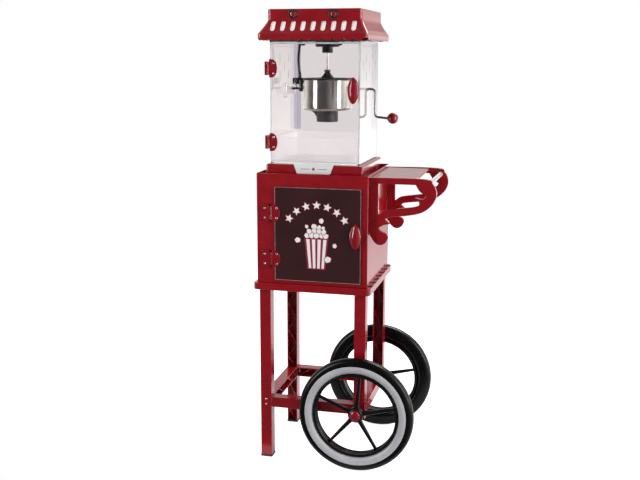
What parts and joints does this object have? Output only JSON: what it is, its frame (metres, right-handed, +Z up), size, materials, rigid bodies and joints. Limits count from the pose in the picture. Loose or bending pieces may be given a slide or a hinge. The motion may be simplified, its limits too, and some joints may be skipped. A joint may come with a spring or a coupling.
{
  "type": "popcorn maker cart",
  "caption": "Red popcorn maker with a glass popping case and tilting kettle on a wheeled stand with a storage cabinet, side shelf and push handle.",
  "frame": {"origin": "on the floor, under the middle of the overall box", "axes": "+Z up, -Y towards the front with the doors, +X towards the push handle and shelf"},
  "size_m": [0.4837, 0.3746, 1.2154],
  "materials": {
    "red_enamel": "gloss",
    "red_plastic": "gloss",
    "dark_plastic": "satin",
    "tyre_rubber": "satin",
    "steel": "polished",
    "clear_acrylic": "clear gloss",
    "smoked_acrylic": "gloss, smoked",
    "label_white": "satin",
    "cable_rubber": "satin"
  },
  "bodies": {
    "cart": {"axle": "steel", "cabinet_floor_tray": "red_enamel", "cabinet_front_frame": "red_enamel", "cabinet_hinge_lower_frame_leaf": "red_plastic", "cabinet_hinge_upper_frame_leaf": "red_plastic", "cabinet_left_panel": "red_enamel", "cabinet_rear_panel": "red_enamel", "cabinet_right_panel": "red_enamel", "cabinet_top_deck": "red_enamel", "canopy": "red_enamel", "case_left_panel": "clear_acrylic", "case_rear_panel": "clear_acrylic", "case_right_panel": "clear_acrylic", "ceiling_pan": "dark_plastic", "front_bracket": "red_enamel", "front_left_leg": "red_enamel", "front_rail": "red_enamel", "front_right_leg": "red_enamel", "glass_hinge_lower_case_leaf": "red_plastic", "glass_hinge_upper_case_leaf": "red_plastic", "handle_bar": "steel", "kettle_cable": "cable_rubber", "kettle_hanger": "clear_acrylic", "label_plate": "label_white", "left_rail": "red_enamel", "popcorn_tray": "clear_acrylic", "popper_base": "red_enamel", "rear_bracket": "red_enamel", "rear_left_leg": "red_enamel", "rear_rail": "red_enamel", "rear_right_leg": "red_enamel", "right_rail": "red_enamel", "side_shelf": "red_enamel", "stir_motor": "dark_plastic"},
    "cabinet_door": {"cabinet_door_panel": "smoked_acrylic", "cabinet_door_pull": "red_plastic", "cabinet_hinge_lower_door_leaf": "red_plastic", "cabinet_hinge_upper_door_leaf": "red_plastic"},
    "glass_door": {"glass_door_panel": "clear_acrylic", "glass_door_pull": "red_plastic", "glass_hinge_lower_door_leaf": "red_plastic", "glass_hinge_upper_door_leaf": "red_plastic"},
    "kettle": {"kettle_pan": "steel", "heater_base": "dark_plastic", "lid_bridge": "dark_plastic", "kettle_plug": "dark_plastic", "crank": "steel", "crank_knob": "red_plastic"},
    "front_flap": {"front_lid_flap": "dark_plastic"},
    "rear_flap": {"rear_lid_flap": "dark_plastic"},
    "stirrer": {"stirrer": "steel"},
    "drive": {"drive_coupler": "dark_plastic"},
    "left_switch": {"left_switch": "red_plastic"},
    "right_switch": {"right_switch": "red_plastic"},
    "front_wheel": {"front_tyre": "tyre_rubber", "front_wheel": "dark_plastic", "front_hub_cap": "red_plastic"},
    "rear_wheel": {"rear_tyre": "tyre_rubber", "rear_wheel": "dark_plastic", "rear_hub_cap": "red_plastic"}
  },
  "joints": [
    {"name": "cabinet_door_hinge", "type": "hinge", "parent": "cart", "child": "cabinet_door", "pos_m": [-0.19075, -0.1572, 0.5105], "axis": [0, 0, -1], "range_deg": [0, 110]},
    {"name": "glass_door_hinge", "type": "hinge", "parent": "cart", "child": "glass_door", "pos_m": [-0.20615, -0.125, 0.8223], "axis": [0, 0, -1], "range_deg": [0, 110]},
    {"name": "kettle_tilt", "type": "hinge", "parent": "cart", "child": "kettle", "pos_m": [-0.08165, 0.018, 1.0101], "axis": [1, 0, 0], "range_deg": [0, 110], "deforming": ["kettle_cable"]},
    {"name": "front_flap_hinge", "type": "hinge", "parent": "kettle", "child": "front_flap", "pos_m": [-0.08165, -0.001, 1.0386], "axis": [-1, 0, 0], "range_deg": [0, 80]},
    {"name": "rear_flap_hinge", "type": "hinge", "parent": "kettle", "child": "rear_flap", "pos_m": [-0.08165, 0.037, 1.0386], "axis": [1, 0, 0], "range_deg": [0, 80]},
    {"name": "drive_spin", "type": "hinge", "parent": "cart", "child": "drive", "pos_m": [-0.08165, 0.018, 1.1216], "axis": [0, 0, 1], "continuous": true},
    {"name": "stirrer_spin", "type": "hinge", "parent": "kettle", "child": "stirrer", "pos_m": [-0.08165, 0.018, 0.9519], "axis": [0, 0, 1], "continuous": true},
    {"name": "left_switch_rock", "type": "hinge", "parent": "cart", "child": "left_switch", "pos_m": [-0.13775, -0.1255, 1.202], "axis": [1, 0, 0], "range_deg": [-7, 7]},
    {"name": "right_switch_rock", "type": "hinge", "parent": "cart", "child": "right_switch", "pos_m": [-0.03145, -0.1255, 1.202], "axis": [1, 0, 0], "range_deg": [-7, 7]},
    {"name": "front_wheel_spin", "type": "hinge", "parent": "cart", "child": "front_wheel", "pos_m": [0.04525, -0.1675, 0.1562], "axis": [0, 1, 0], "continuous": true},
    {"name": "rear_wheel_spin", "type": "hinge", "parent": "cart", "child": "rear_wheel", "pos_m": [0.04525, 0.1675, 0.1562], "axis": [0, 1, 0], "continuous": true}
  ],
  "couplings": [
    {"joint": "stirrer_spin", "follows": "drive_spin", "ratio": 1}
  ]
}
